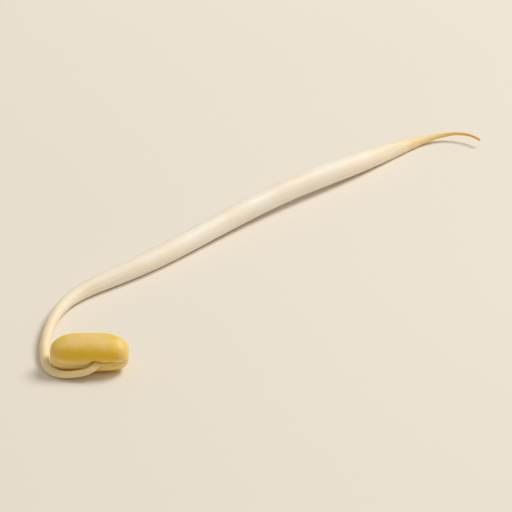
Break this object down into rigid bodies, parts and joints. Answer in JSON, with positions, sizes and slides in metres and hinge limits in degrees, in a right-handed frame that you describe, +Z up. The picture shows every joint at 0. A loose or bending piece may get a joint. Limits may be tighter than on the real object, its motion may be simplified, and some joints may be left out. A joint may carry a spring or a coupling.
{
  "type": "mung bean sprout",
  "caption": "Mung bean sprout lying on a surface: ivory stem with a thin hooked neck round a yellow split bean head, and a fine tapering root.",
  "frame": {"origin": "on the surface the sprout lies on, under the middle of its outline", "axes": "+X along the stem from the bean head to the root tip, +Y to the outside of the stem's bend, away from the bean head, +Z up"},
  "size_m": [0.0701, 0.0155, 0.0038],
  "materials": {
    "stem": "satin",
    "cotyledon": "satin",
    "first_leaf": "satin"
  },
  "bodies": {
    "root": {"stem_and_root": "stem", "upper_cotyledon": "cotyledon", "lower_cotyledon": "cotyledon", "upper_first_leaf": "first_leaf", "lower_first_leaf": "first_leaf"}
  },
  "joints": []
}
